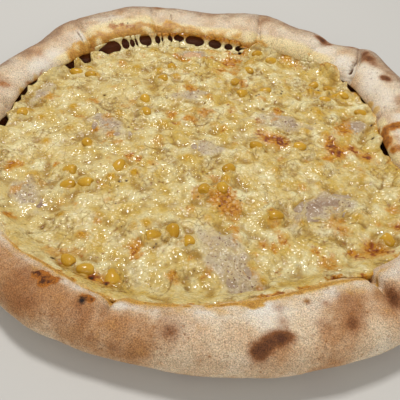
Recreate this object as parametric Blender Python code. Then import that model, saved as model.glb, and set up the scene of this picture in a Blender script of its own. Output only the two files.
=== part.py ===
"""A stuffed crust pizza with ham and sweetcorn, as it comes off the peel.

The dough is one piece: a flat base whose edge is rolled up, folded over and pleated into a puffy rim.
Tomato sauce and melted cheese lie inside the rim, with corn kernels and slices of ham set in the cheese.
Lengths are in millimetres, and one scale at the end turns them into metres. +Z is up, the origin is the
middle of the underside, and +Y points to the side where the rim stands clear of the cheese on strings.
"""

import math
import random

import bmesh
import bpy
from mathutils import Euler, Matrix, Vector, geometry, noise

MM = 0.001

# Driving sizes of the dough.
BASE_THICKNESS = 4.0
NOSE_HEIGHT = 13.5
NOSE_RADIUS = 2.6
OUTER_SHARE = 0.45
PRESSED_UNDERCUT = 3.5

# The rim, station by station: angle, outer radius, lip radius and crest height.
STATIONS = [
    (0, 164, 121, 25),
    (12, 163, 123, 25),
    (20, 165, 128, 26),
    (39, 172, 129, 28),
    (50, 160, 127, 24),
    (64, 163, 123, 25),
    (76, 169, 118, 26),
    (92, 161, 119, 24),
    (108, 168, 124, 26),
    (133, 171, 128, 26),
    (148, 162, 124, 24),
    (160, 161, 131, 24),
    (175, 164, 130, 25),
    (190, 167, 133, 26),
    (210, 165, 134, 26),
    (226, 163, 137, 25),
    (240, 163, 133, 26),
    (256, 161, 132, 26),
    (272, 162, 129, 27),
    (288, 166, 128, 28),
    (302, 171, 130, 27),
    (312, 175, 138, 26),
    (322, 174, 142, 26),
    (334, 168, 137, 25),
    (348, 165, 129, 25),
]

# Pleats where the dough's edge was folded over: angle at the lip, angle at the outer side, depth and step.
PLEATS = [
    (14, 10, 2.2, 0.8),
    (34, 44, 4.2, -2.4),
    (52, 51, 2.0, 0.8),
    (72, 76, 3.0, 1.0),
    (111, 110, 1.8, 0.5),
    (136, 133, 3.2, 1.2),
    (177, 179, 2.6, -1.0),
    (212, 209, 2.4, 1.0),
    (256, 256, 1.8, 0.6),
    (310, 306, 3.6, 1.5),
    (345, 348, 2.8, -1.0),
]
PLEAT_WIDTH = 3.4
PLEAT_REACH = 16.0
LEAN_REACH = 11.0

# Mouths where the lip has lifted off the filling: first angle, last angle, lift and draw-back of the cheese.
MOUTHS = [
    (-4, 6, 2.0, 1.6),
    (27, 37, 2.2, 2.0),
    (59, 66, 1.0, 1.2),
    (78, 133, 4.5, 5.0),
    (139, 152, 3.0, 3.2),
    (162, 176, 2.0, 2.2),
    (181, 188, 2.5, 3.5),
    (247, 252, 1.0, 2.0),
    (325, 338, 2.0, 2.5),
]
MOUTH_SHOULDER = 3.0
MOUTH_HOLLOW = 7.0

# The fillings.
AIR_GAP = 0.35
SAUCE_THICKNESS = 1.5
SAUCE_UNDER_LIP = 2.0
CHEESE_TOP = 10.6
CHEESE_PITCH = 7.0
CHEESE_LIP_GAP = 0.6
CHEESE_RISE = 1.6
COVERED_CORN = 46
COVERED_BUMP = 1.7
STRING_ANGLES = [134, 125.8, 122.4, 118.8, 113, 110, 107.8, 105.4, 100.7, 92.8, 85.6, 80.8]

# Corn kernels that stand out of the cheese: x and y of each.
CORN = [
    (-38, -117), (-52, -114), (-62, -110), (-21, -89), (-11, -85), (-2, -90),
    (-78, -44), (-66, -53), (-76, -56), (-49, -37), (-72, -19), (-43, 33),
    (-40, 19), (-28, 78), (-34, 62), (-99, 61), (-88, 59), (21, 66),
    (32, 83), (38, 107), (50, 100), (27, 51), (44, 57), (81, 70),
    (92, 68), (103, 60), (88, 52), (112, 39), (4, -50), (18, -31),
    (15, -48), (36, -7), (65, -3), (108, -79), (46, -67), (-122, 6),
]
CORN_LENGTH = 9.4
CORN_WIDTH = 8.2
CORN_DEPTH = 6.2
CORN_STAND = 0.5

# Slices of ham: x, y, turn, half length and half width.
HAM = [
    (76, -55, 24, 22, 10),
    (20, -101, -58, 25, 12),
    (54, 22, -12, 19, 9),
    (-62, 1, -24, 17, 8),
    (4, -12, -8, 12, 8),
    (-14, 101, 4, 14, 6),
    (107, 24, 60, 10, 6),
    (-12, 44, 20, 13, 8),
    (-98, -64, -52, 15, 8),
    (-116, 32, 70, 12, 5),
]
HAM_THICKNESS = 1.8


def clear_scene():
    for obj in list(bpy.data.objects):
        bpy.data.objects.remove(obj)


def finish(colour, name, roughness):
    """A plain Principled material: linear base colour, and no metal in any of it."""
    material = bpy.data.materials.new(name)
    material.use_nodes = True
    shader = material.node_tree.nodes["Principled BSDF"]
    shader.inputs["Base Color"].default_value = (*colour, 1)
    shader.inputs["Roughness"].default_value = roughness
    shader.inputs["Metallic"].default_value = 0
    return material


def add_object(name, bm, material):
    """Turns a bmesh in millimetres into an object in metres, with its faces pointing out."""
    bmesh.ops.recalc_face_normals(bm, faces=bm.faces)
    bmesh.ops.scale(bm, vec=(MM, MM, MM), verts=bm.verts)
    mesh = bpy.data.meshes.new(name)
    bm.to_mesh(mesh)
    bm.free()
    mesh.materials.append(material)
    mesh.shade_smooth()
    mesh.set_sharp_from_angle(angle=math.radians(50))
    obj = bpy.data.objects.new(name, mesh)
    bpy.context.scene.collection.objects.link(obj)
    return obj


def smooth(low, high, value):
    t = min(1.0, max(0.0, (value - low) / (high - low)))
    return t * t * (3 - 2 * t)


def turn_between(angle, other):
    """The signed angle from other to angle, from -180 to 180 degrees."""
    return (angle - other + 180) % 360 - 180


def station_value(angle, column):
    """One of the rim's sizes at an angle: a smooth closed curve through the stations."""
    count = len(STATIONS)
    after = next((i for i in range(count) if STATIONS[i][0] > angle % 360), count)
    picks = [STATIONS[(after + k) % count] for k in (-2, -1, 0, 1)]
    angles = [turn_between(p[0], angle) for p in picks]
    values = [p[column] for p in picks]
    span = angles[2] - angles[1]
    t = -angles[1] / span
    slope_1 = (values[2] - values[0]) / (angles[2] - angles[0]) * span
    slope_2 = (values[3] - values[1]) / (angles[3] - angles[1]) * span
    return (
        values[1] * (1 + 2 * t) * (1 - t) ** 2
        + slope_1 * t * (1 - t) ** 2
        + values[2] * t * t * (3 - 2 * t)
        + slope_2 * t * t * (t - 1)
    )


def mouth(angle, column):
    """How far the lip has lifted, or the cheese drawn back, at an angle."""
    total = 0.0
    for entry in MOUTHS:
        middle = (entry[0] + entry[1]) / 2
        half = (entry[1] - entry[0]) / 2
        off = abs(turn_between(angle, middle))
        total = max(total, entry[column] * (1 - smooth(half - MOUTH_SHOULDER, half + MOUTH_SHOULDER, off)))
    return total


def lip_radius(angle):
    return station_value(angle, 2)


def undercut(angle):
    return PRESSED_UNDERCUT + MOUTH_HOLLOW * min(1.0, mouth(angle, 2) / 3)


def polar(angle, radius, z):
    a = math.radians(angle)
    return Vector((radius * math.cos(a), radius * math.sin(a), z))


def leaning(angle, across):
    """The angle of a spoke at a point of the rim. Spokes lean with the pleats, so that none crosses one."""
    lean = 0.0
    for at_lip, at_outer, _, _ in PLEATS:
        near = turn_between(angle, at_lip) / LEAN_REACH
        lean += turn_between(at_outer, at_lip) * math.exp(-(near**2))
    return angle + lean * across


def pleat_fold(angle, across, radius):
    """Push of the folds at a point of the rim. across runs from 0 at the lip to 1 at the outer side."""
    total = 0.0
    fade = 1 - smooth(0.45, 0.95, across)
    for at_lip, at_outer, depth, step in PLEATS:
        middle = at_lip + turn_between(at_outer, at_lip) * across
        off = math.radians(turn_between(angle, middle)) * radius
        total -= depth * math.exp(-((off / PLEAT_WIDTH) ** 2)) * fade
        total += step * math.tanh(off / PLEAT_WIDTH) * math.exp(-abs(off) / PLEAT_REACH) * fade
    return total


def puff(spot):
    """The uneven swelling of baked dough."""
    return 1.7 * noise.noise(spot / 34) + 0.5 * noise.noise(spot / 13 + Vector((7, 3, 1)))


def roll_point(spoke, degrees):
    """A point of the rolled rim: degrees runs from -90 on the floor, over the outside and crest, to 180."""
    a = math.radians(degrees)
    if degrees <= 90:
        across = 1 - OUTER_SHARE * (1 - math.cos(a))
    else:
        across = (1 - OUTER_SHARE) * (1 + math.cos(a))
    angle = leaning(spoke, across)
    lip = lip_radius(angle)
    crest = station_value(angle, 3)
    r = lip + across * (station_value(angle, 1) - lip)
    if degrees <= 90:
        z = crest / 2 * (1 + math.sin(a))
    else:
        nose = NOSE_HEIGHT + mouth(angle, 2)
        z = nose + (crest - nose) * math.sin(a)
    push = puff(polar(angle, r, z)) * smooth(0, 0.25, across) * smooth(0, 6, z)
    push += pleat_fold(angle, across, r) * smooth(2, 12, z)
    return polar(angle, r + push * math.cos(a), max(0.0, z + push * math.sin(a)))


def lip_points(angle):
    """The underside of the lip and the side of the slot beneath it, down to the base."""
    lip = lip_radius(angle)
    nose = NOSE_HEIGHT + mouth(angle, 2)
    depth = undercut(angle)
    return [
        polar(angle, lip + 0.28 * NOSE_RADIUS, nose - 0.7 * NOSE_RADIUS),
        polar(angle, lip + NOSE_RADIUS, nose - NOSE_RADIUS),
        polar(angle, lip + depth, nose - NOSE_RADIUS - 0.6),
        polar(angle, lip + depth + 0.8, BASE_THICKNESS),
    ]


def spokes():
    """Angles at which the rim is cut: even ones, with closer ones at each pleat."""
    close = [p[0] + off for p in PLEATS for off in (-1.8, 0, 1.8)]
    even = [i * 3.6 for i in range(100)]
    kept = [a for a in even if all(abs(turn_between(a, c)) > 1.3 for c in close)]
    return sorted(a % 360 for a in kept + close)


def loft(bm, rings):
    """Joins closed rings of equal length with quads, and caps the first and the last."""
    rows = [[bm.verts.new(p) for p in ring] for ring in rings]
    count = len(rows[0])
    for low, high in zip(rows, rows[1:]):
        for i in range(count):
            j = (i + 1) % count
            bm.faces.new((low[i], low[j], high[j], high[i]))
    bm.faces.new(rows[0])
    bm.faces.new(rows[-1])


def make_crust(material):
    """Base and rolled rim, one piece of dough."""
    bm = bmesh.new()
    angles = spokes()
    turns = (-90, -62, -34, -8, 20, 46, 70, 90, 112, 133, 156, 180)
    rings = [[roll_point(a, degrees) for a in angles] for degrees in turns]
    rings += [list(ring) for ring in zip(*(lip_points(a) for a in angles))]
    loft(bm, rings)
    return add_object("crust", bm, material)


def make_sauce(material):
    """The thin layer of tomato sauce that runs through the pizza, out to just under the lip."""
    bm = bmesh.new()
    bottom = BASE_THICKNESS + AIR_GAP
    angles = [i * 5.0 for i in range(72)]
    rings = [
        [polar(a, lip_radius(a) + SAUCE_UNDER_LIP, z) for a in angles]
        for z in (bottom, bottom + SAUCE_THICKNESS)
    ]
    loft(bm, rings)
    return add_object("tomato_sauce", bm, material)


def covered_corn():
    """Places of the kernels that lie under the cheese and lift it, spread evenly by a seeded draw."""
    draw = random.Random(11)
    places = []
    while len(places) < COVERED_CORN:
        angle = draw.uniform(0, 360)
        radius = math.sqrt(draw.random()) * (lip_radius(angle) - 16)
        spot = Vector((radius * math.cos(math.radians(angle)), radius * math.sin(math.radians(angle))))
        taken = [Vector(c) for c in CORN] + [Vector(h[:2]) for h in HAM] + places
        if all((spot - other).length > 12 for other in taken):
            places.append(spot)
    return places


def cheese_edge(angle):
    return lip_radius(angle) - CHEESE_LIP_GAP - mouth(angle, 3)


def cheese_height(x, y, covered):
    """Top of the melted cheese: broad sags, blisters and a bump over each covered kernel."""
    angle = math.degrees(math.atan2(y, x)) % 360
    inside = cheese_edge(angle) - math.hypot(x, y)
    height = CHEESE_TOP + 1.1 * noise.noise(Vector((x, y, 0)) / 38)
    height += 0.7 * noise.noise(Vector((x, y, 50)) / 11)
    for spot in covered:
        off = (Vector((x, y)) - spot).length
        height += COVERED_BUMP * math.exp(-((off / 4.6) ** 2))
    pressed = 1 - min(1.0, mouth(angle, 3) / 3)
    height += CHEESE_RISE * pressed * (1 - smooth(0, 14, inside))
    height -= 1.6 * (1 - pressed) * (1 - smooth(0, 5, inside))
    return height


def cheese_outline():
    count = 150
    return [polar(i * 360 / count, cheese_edge(i * 360 / count), 0).to_2d() for i in range(count)]


def cheese_points(outline):
    """The outline's points, then points on an even three-way grid well inside it."""
    points = list(outline)
    row_step = CHEESE_PITCH * math.sqrt(3) / 2
    rows = int(150 / row_step)
    for j in range(-rows, rows + 1):
        for i in range(-32, 33):
            spot = Vector(((i + 0.5 * (j % 2)) * CHEESE_PITCH, j * row_step))
            angle = math.degrees(math.atan2(spot.y, spot.x)) % 360
            if cheese_edge(angle) - spot.length > 0.55 * CHEESE_PITCH:
                points.append(spot)
    return points


def make_cheese(material, covered):
    """The sheet of melted cheese: a relief on top, walls at its edge and a flat underside."""
    outline = cheese_outline()
    points, _, faces, _, _, _ = geometry.delaunay_2d_cdt(
        cheese_points(outline), [], [list(range(len(outline)))], 1, 1e-4
    )
    bottom = BASE_THICKNESS + SAUCE_THICKNESS + 2 * AIR_GAP
    bm = bmesh.new()
    top = [bm.verts.new((p.x, p.y, cheese_height(p.x, p.y, covered))) for p in points]
    for face in faces:
        bm.faces.new([top[i] for i in face])
    rim_edges = [e for e in bm.edges if e.is_boundary]
    under = {}
    for vert in {v for e in rim_edges for v in e.verts}:
        under[vert] = bm.verts.new((vert.co.x, vert.co.y, bottom))
    for edge in rim_edges:
        a, b = edge.verts
        bm.faces.new((a, b, under[b], under[a]))
    bmesh.ops.holes_fill(bm, edges=[e for e in bm.edges if e.is_boundary])
    return add_object("melted_cheese", bm, material)


def make_strings(cheese, covered):
    """Strings of cheese that reach from the sheet's edge up to the lifted lip, fused to the sheet."""
    collection = bpy.data.collections.new("cheese_strings")
    bpy.context.scene.collection.children.link(collection)
    for number, angle in enumerate(STRING_ANGLES):
        foot_radius = cheese_edge(angle) - 2.2
        foot = polar(angle, foot_radius, 8.2)
        head = polar(angle, lip_radius(angle) - 1.2, NOSE_HEIGHT + mouth(angle, 2) - 0.6)
        bm = bmesh.new()
        rings = []
        for along, wide in ((0, 1.9), (0.35, 1.0), (0.7, 0.75), (1, 1.3)):
            middle = foot.lerp(head, along)
            ring = [polar(angle, 0.55 * wide * math.sin(k), 0)
                    + polar(angle + 90, wide * math.cos(k), 0)
                    for k in (math.radians(60 * i) for i in range(6))]
            rings.append([middle + offset for offset in ring])
        loft(bm, rings)
        string = add_object(f"string_{number}", bm, cheese.data.materials[0])
        bpy.context.scene.collection.objects.unlink(string)
        collection.objects.link(string)
    join = cheese.modifiers.new("strings", "BOOLEAN")
    join.operand_type = "COLLECTION"
    join.collection = collection
    join.operation = "UNION"
    join.solver = "EXACT"
    apply_modifiers(cheese)
    for obj in list(collection.objects):
        bpy.data.objects.remove(obj)
    bpy.data.collections.remove(collection)


def apply_modifiers(obj):
    graph = bpy.context.evaluated_depsgraph_get()
    mesh = bpy.data.meshes.new_from_object(obj.evaluated_get(graph))
    obj.modifiers.clear()
    obj.data = mesh


def kernel_mesh(name, material, grow):
    """One corn kernel, a flattened tooth: broad crown, narrower root. grow makes it that much bigger."""
    half = CORN_LENGTH / 2
    turns = [math.radians(45 * i) for i in range(8)]
    bm = bmesh.new()
    rows = []
    for along, girth in ((-0.72, 0.55), (0.0, 1.0), (0.68, 0.78)):
        wide = CORN_WIDTH / 2 * girth + grow
        deep = CORN_DEPTH / 2 * girth + grow
        rows.append([bm.verts.new((along * half, wide * math.cos(a), deep * math.sin(a))) for a in turns])
    root = bm.verts.new((-half - grow, 0, 0))
    crown = bm.verts.new((half + grow, 0, 0))
    for i in range(8):
        j = (i + 1) % 8
        bm.faces.new((root, rows[0][j], rows[0][i]))
        bm.faces.new((rows[0][i], rows[0][j], rows[1][j], rows[1][i]))
        bm.faces.new((rows[1][i], rows[1][j], rows[2][j], rows[2][i]))
        bm.faces.new((crown, rows[2][i], rows[2][j]))
    bmesh.ops.recalc_face_normals(bm, faces=bm.faces)
    bmesh.ops.scale(bm, vec=(MM, MM, MM), verts=bm.verts)
    mesh = bpy.data.meshes.new(name)
    bm.to_mesh(mesh)
    bm.free()
    mesh.materials.append(material)
    mesh.shade_smooth()
    return mesh


def kernel_places(covered):
    """Where each standing kernel lies: its centre, its turn and its size, each a little different."""
    draw = random.Random(5)
    places = []
    for x, y in CORN:
        z = cheese_height(x, y, covered) + CORN_STAND
        roll = math.radians(draw.uniform(-20, 20))
        tip = math.radians(draw.uniform(-22, 22))
        turn = math.radians(draw.uniform(0, 360))
        size = draw.uniform(0.88, 1.06)
        places.append((Vector((x, y, z)) * MM, Euler((roll, tip, turn)), size))
    return places


def make_corn(material, places, grow=0.0, prefix="corn_kernel"):
    mesh = kernel_mesh(prefix, material, grow)
    kernels = []
    for number, (spot, turn, size) in enumerate(places, start=1):
        kernel = bpy.data.objects.new(f"{prefix}_{number:02d}", mesh)
        kernel.location = spot
        kernel.rotation_euler = turn
        kernel.scale = (size, size, size)
        bpy.context.scene.collection.objects.link(kernel)
        kernels.append(kernel)
    return kernels


def ham_bmesh(x, y, turn, half_length, half_width, covered, grow, top):
    """A slice of ham, thin and wavy, both faces split alike. grow widens its outline, top thickens it."""
    bm = bmesh.new()
    count = 12
    way = Matrix.Rotation(math.radians(turn), 2)
    faces = []
    for side, lift in (("under", -HAM_THICKNESS - grow), ("over", top)):
        rows = []
        for share in (0.0, 0.55, 1.0):
            row = []
            for i in range(count if share else 1):
                a = math.radians(360 / count * i)
                uneven = 1 + 0.16 * noise.noise(Vector((3 * math.cos(a), 3 * math.sin(a), x)))
                local = Vector((half_length * math.cos(a), half_width * math.sin(a))) * share * uneven
                if share == 1.0:
                    local += local.normalized() * grow
                spot = Vector((x, y)) + way @ local
                wave = 0.5 * noise.noise(Vector((spot.x, spot.y, 90)) / 9)
                row.append(bm.verts.new((spot.x, spot.y, ham_level(x, y, covered) + wave + lift)))
            rows.append(row)
        for i in range(count):
            j = (i + 1) % count
            bm.faces.new((rows[0][0], rows[1][i], rows[1][j]))
            bm.faces.new((rows[1][i], rows[2][i], rows[2][j], rows[1][j]))
        faces.append(rows[2])
    for i in range(count):
        j = (i + 1) % count
        bm.faces.new((faces[0][i], faces[0][j], faces[1][j], faces[1][i]))
    bmesh.ops.triangulate(bm, faces=bm.faces)
    return bm


def ham_level(x, y, covered):
    return cheese_height(x, y, covered) + 0.5


def make_ham(material, covered, grow=0.0, top=0.0, prefix="ham_slice"):
    return [
        add_object(f"{prefix}_{number:02d}", ham_bmesh(*place, covered, grow, top), material)
        for number, place in enumerate(HAM, start=1)
    ]


def cut_pockets(cheese, cutters):
    """Lets the toppings into the cheese, with air all round them."""
    collection = bpy.data.collections.new("pockets")
    bpy.context.scene.collection.children.link(collection)
    for cutter in cutters:
        bpy.context.scene.collection.objects.unlink(cutter)
        collection.objects.link(cutter)
    cut = cheese.modifiers.new("pockets", "BOOLEAN")
    cut.operand_type = "COLLECTION"
    cut.collection = collection
    cut.operation = "DIFFERENCE"
    cut.solver = "EXACT"
    apply_modifiers(cheese)
    for cutter in cutters:
        bpy.data.objects.remove(cutter)
    bpy.data.collections.remove(collection)


def main():
    clear_scene()
    dough = finish((0.62, 0.42, 0.24), "baked_dough", 0.85)
    sauce = finish((0.36, 0.06, 0.015), "tomato_sauce", 0.45)
    cheese_finish = finish((0.72, 0.56, 0.24), "melted_cheese", 0.35)
    corn = finish((0.72, 0.42, 0.03), "sweetcorn", 0.3)
    ham = finish((0.56, 0.34, 0.32), "cooked_ham", 0.4)

    covered = covered_corn()
    places = kernel_places(covered)
    make_crust(dough)
    make_sauce(sauce)
    cheese = make_cheese(cheese_finish, covered)
    make_strings(cheese, covered)
    cutters = make_corn(corn, places, AIR_GAP, "corn_pocket")
    cutters += make_ham(ham, covered, AIR_GAP, 14, "ham_pocket")
    cut_pockets(cheese, cutters)
    make_corn(corn, places)
    make_ham(ham, covered)


main()
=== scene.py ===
import math
import random

import bpy
import numpy as np
from mathutils import Matrix, Vector, noise


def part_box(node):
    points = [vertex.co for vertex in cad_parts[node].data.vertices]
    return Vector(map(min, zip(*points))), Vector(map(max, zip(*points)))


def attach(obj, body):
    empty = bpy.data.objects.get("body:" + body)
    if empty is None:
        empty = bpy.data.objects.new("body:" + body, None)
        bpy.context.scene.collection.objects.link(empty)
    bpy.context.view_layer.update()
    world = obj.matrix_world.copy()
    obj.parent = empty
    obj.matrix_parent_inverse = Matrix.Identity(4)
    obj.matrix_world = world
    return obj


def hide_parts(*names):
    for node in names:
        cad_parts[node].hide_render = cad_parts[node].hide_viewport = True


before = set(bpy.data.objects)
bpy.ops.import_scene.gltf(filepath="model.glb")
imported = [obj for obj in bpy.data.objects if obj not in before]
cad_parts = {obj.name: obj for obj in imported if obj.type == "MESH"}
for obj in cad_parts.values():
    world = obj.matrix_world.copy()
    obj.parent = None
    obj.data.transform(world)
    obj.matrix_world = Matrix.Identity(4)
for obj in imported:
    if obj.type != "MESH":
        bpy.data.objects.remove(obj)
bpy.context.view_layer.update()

# The dough: one piece of wheat bread, stretched flat, its edge rolled up over the stuffing, pressed down
# inside and pleated by hand. It is baked dry and matt, dusted with flour, golden at the lip and scorched
# where blisters met the heat of the oven.
MM = 0.001
BASE_THICKNESS = 4.0
NOSE_HEIGHT = 13.5
NOSE_RADIUS = 2.6
OUTER_SHARE = 0.45
PRESSED_UNDERCUT = 3.5
MOUTH_SHOULDER = 3.0
MOUTH_HOLLOW = 7.0
PLEAT_WIDTH = 3.4
PLEAT_REACH = 16.0
LEAN_REACH = 11.0

# Angle, outer radius, lip radius and crest height of the rim, station by station.
STATIONS = np.array([
    (0, 164, 121, 25), (12, 163, 123, 25), (20, 165, 128, 26), (30, 167, 128.5, 27.5), (39, 172, 129, 28),
    (50, 160, 127, 24), (57, 166, 125, 25), (64, 163, 123, 25), (76, 169, 118, 26), (92, 161, 119, 24),
    (108, 168, 124, 26), (133, 171, 128, 26), (148, 162, 124, 24), (160, 161, 131, 24), (175, 164, 130, 25),
    (190, 167, 133, 26), (210, 165, 134, 26), (226, 163, 137, 25), (240, 163, 134, 26), (256, 161, 134, 26),
    (272, 162, 131, 27), (288, 166, 128, 28), (302, 171, 130, 27), (312, 175, 138, 26), (322, 174, 142, 26),
    (334, 168, 137, 25), (348, 165, 129, 25),
], float)

# Angle at the lip, angle at the outer side, depth, step and sharp crease of each pleat.
PLEATS = [
    (14, 10, 2.2, 0.8, 0.8), (34, 44, 4.2, -2.4, 4), (52, 51, 2, 0.8, 0.8), (72, 76, 3, 1, 2),
    (111, 110, 1.8, 0.5, 0.9), (136, 133, 3.2, 1.2, 2.4), (177, 179, 2.6, -1, 1), (212, 209, 2.4, 1, 1.2),
    (256, 256, 1.8, 0.6, 1.6), (310, 306, 3.6, 1.5, 2.6), (345, 348, 2.8, -1, 1.4),
]

# Where the lip stands open: first angle, last angle and lift.
MOUTHS = [
    (-4, 6, 2), (27, 37, 2.2), (59, 66, 1), (78, 133, 4.5), (139, 152, 3), (162, 176, 2), (181, 188, 2.5),
    (247, 252, 1), (325, 338, 2),
]

# Scorches on the rim, dark brown with soft edges: x, y, z, radius and strength.
SCORCHES = [
    (31, -156, 25, 3.6, 0.7), (34, -155, 26, 4.2, 0.9), (38, -152, 27, 4.2, 0.95), (42, -150, 27, 4, 0.95),
    (46, -149, 27, 3, 0.6), (33, -158, 23, 3.2, 0.5), (75, -138, 27, 6, 0.45), (74, -140, 26, 3, 0.6),
    (61, -143, 27, 4, 0.4), (43, -142, 28, 3, 0.5), (42, -134, 26, 3.5, 0.4), (55, -130, 27, 2, 0.8),
    (63, -131, 27, 2, 0.6), (75, -128, 27, 7, 0.35), (96, -120, 24, 5, 0.6), (98, -125, 24, 5, 0.65),
    (83, -110, 19, 3.5, 1), (79, -112, 18, 3, 0.8), (-6, -151, 27, 3.5, 0.5), (-6, -149, 27, 8, 0.35),
    (-29, -157, 19, 3, 0.4), (-40, -154, 20, 2, 0.45), (-45, -146, 25, 5, 0.5), (-47, -140, 26, 3, 0.5),
    (-68, -142, 25, 5, 0.5), (-75, -141, 22, 5, 0.5), (-75, -129, 26, 7, 0.5), (-81, -136, 23, 5, 0.4),
    (-56, -146, 22, 5, 0.3), (-48, 148, 25, 4, 0.6), (-69, 117, 24, 2.4, 0.9), (87, 122, 24, 3.6, 0.8),
    (91, 119, 24, 4.6, 1), (95, 113, 24, 3.4, 0.8), (107, 114, 22, 3, 0.5), (113, 109, 25, 3, 0.6),
    (119, 100, 27, 3, 0.6), (120, 94, 28, 4.4, 0.9), (122, 86, 29, 5.2, 0.9), (124, 79, 29, 4, 0.6),
    (116, 86, 28, 5.5, 0.4), (128, 64, 27, 3, 0.7), (131, 62, 27, 3.6, 0.95), (135, 38, 25, 4, 0.4),
    (-139, 22, 22, 6, 0.4), (-152, -10, 16, 8, 0.4), (-67, 122, 25, 2.6, 0.3), (-144, -62, 17, 7, 0.4),
    (-110, -122, 15, 8, 0.4), (60, 152, 16, 8, 0.4), (160, -40, 17, 8, 0.5),
]

# Places toasted to a warm tan, with no clear edge: x, y, z, radius and strength.
TOASTED = [
    (-70, -138, 24, 22, 1), (-45, -148, 23, 20, 0.9), (-95, -122, 20, 20, 0.8), (-20, -156, 20, 16, 0.7),
    (-28, -150, 25, 9, 0.6), (5, -158, 18, 14, 0.45), (40, -152, 24, 14, 0.5), (70, -140, 24, 16, 0.6),
    (92, -126, 22, 14, 0.7), (62, -150, 16, 14, 0.5), (115, -112, 18, 18, 0.6), (76, -128, 27, 9, 0.5),
    (-84, 138, 20, 14, 0.6), (-112, 112, 20, 14, 0.6), (-140, 70, 20, 14, 0.6), (-144, 20, 22, 14, 0.6),
    (-150, -20, 18, 18, 0.5), (-120, -92, 18, 18, 0.6), (-80, 112, 24, 8, 0.5), (44, 143, 25, 9, 0.45),
    (58, 135, 25, 7, 0.3), (-48, 146, 25, 9, 0.4), (150, 20, 20, 14, 0.35), (116, 86, 27, 10, 0.5),
    (94, 117, 24, 8, 0.4), (-128, 62, 22, 16, 0.35), (-108, 92, 22, 16, 0.3), (-68, 122, 25, 6, 0.9),
    (-95, 111, 25, 7, 0.6), (-78, 130, 27, 6, 0.6), (-26, -134, 20, 10, 0.7), (-8, -136, 20, 10, 0.7),
    (-104, 70, 19, 7, 0.8), (-97, 80, 19, 7, 0.9),
]

# Places dusted white with flour: x, y, z, radius and strength.
FLOURED = [
    (113, 80, 24, 13, 1), (119, 60, 27, 14, 1), (125, 42, 26, 12, 0.8), (90, 105, 25, 12, 0.7),
    (40, -140, 26, 12, 0.6), (-122, -62, 25, 12, 0.8), (-108, -84, 25, 12, 0.6), (-84, -104, 24, 9, 0.8),
    (-119, 54, 20, 9, 1), (-114, 64, 24, 9, 1), (-124, 46, 18, 8, 0.8), (138, 2, 25, 10, 0.8),
    (-29, -140, 25, 5, 0.5), (-21, -141, 25, 4, 0.4), (-14, -144, 25, 5, 0.5), (-50, -134, 26, 5, 0.4),
    (-56, -130, 25, 4, 0.4), (136, 24, 26, 9, 0.7), (112, 87, 22, 7, 0.9), (104, 91, 23, 7, 0.8),
    (111, 78, 17, 5, 0.7), (-100, 92, 25, 9, 0.8), (-88, 104, 25, 9, 0.7),
]

# Blisters that split open and baked orange, with charred specks: x, y, z, radius and strength.
BLISTERS = [
    (-65, -129, 26, 3.4, 1), (-69, -128, 26, 3, 1), (-61, -130, 26, 3, 1), (-65, -132, 26, 3, 0.9),
    (-43, -138, 26, 2.8, 0.9), (-46, -138, 25, 2.2, 0.8), (-80, 112, 24, 5, 0.5), (-74, 114, 24, 4, 0.6),
    (-66, 114, 23, 4, 0.5), (-137, 20, 22, 5, 0.5),
]

# Charred hearts: x, y, z, radius and strength.
CHARS = [
    (-46, -139, 26, 2.5, 1), (-46, -141, 25, 1.9, 0.9), (-69, -129, 27, 1.2, 0.9),
    (-66, -132, 27, 1.4, 0.7), (-62, -130, 26, 1, 0.7), (-69, 117, 24, 1.3, 0.8), (84, -110, 19, 1.6, 0.8),
    (-71, -127, 26, 1.2, 0.7),
]

# Sauce that boiled over onto the lip and baked there: x, y, z, radius and strength.
STAINS = [
    (121, 16, 13, 4, 0.9), (123, 13, 18, 5, 1), (127, 14, 21, 4.6, 1), (132, 14, 22, 4.6, 0.9),
    (-125, 42, 12, 4, 0.8), (-128, 35, 14, 4, 0.7), (-130, 24, 14, 4, 0.6), (-122, 48, 14, 3, 0.5),
    (122, 7, 14, 4.6, 1), (121, 1, 15, 4.4, 1), (121, 9, 15, 6, 1), (122, 2, 17, 6, 1),
    (125, -7, 18, 4, 0.9), (130, -9, 21, 3.4, 0.7), (17, 119, 16, 4, 0.7), (24, 117, 15, 4.4, 0.9),
    (10, 120, 16, 3.4, 0.6), (2, 120, 16, 3, 0.4), (-27, 121, 18, 3, 0.4), (30, 115, 14, 3.4, 0.6),
    (24, -131, 20, 2.4, 0.8), (43, -126, 20, 2, 0.8), (42, -128, 22, 1.4, 0.7), (55, -121, 18, 1.8, 0.9),
    (-52, -122, 17, 3, 0.8), (-45, -125, 17, 2.4, 0.9),
]

# Drips of cheese that ran over the lip and set golden: x, y, z, radius and strength.
DRIPS = [
    (30, -134, 25, 3.4, 1), (34, -133, 25, 2.6, 0.9), (27, -133, 24, 2.2, 0.8), (120, 45, 15, 4.5, 0.8),
    (121, 37, 17, 4.5, 0.8), (-84, 99, 20, 6, 0.8), (-59, 115, 22, 6, 0.7), (-80, 107, 23, 6, 0.6),
    (-104, 70, 18, 6, 1), (-98, 78, 18, 6, 1), (-93, 84, 17, 5, 0.8), (-122, 42, 15, 5, 0.7),
    (-128, 24, 15, 5, 0.9),
]

# Short creases in the skin of the dough, where it was pinched: x, y at both ends, and depth.
WRINKLES = [
    (-105, 95, -97, 84, 1.6), (-34, -137, -35, -144, 1.2), (88, -108, 88, -116, 1.4),
    (91, -109, 90, -114, 0.9), (106, 77, 110, 85, 2.4), (110, 85, 119, 98, 1.6), (107, 79, 102, 82, 1),
    (108, 81, 104, 86, 1), (109, 83, 109, 90, 0.9), (-36, 138, -34, 128, 1.2), (39, 128, 40, 116, 1.2),
]

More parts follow.
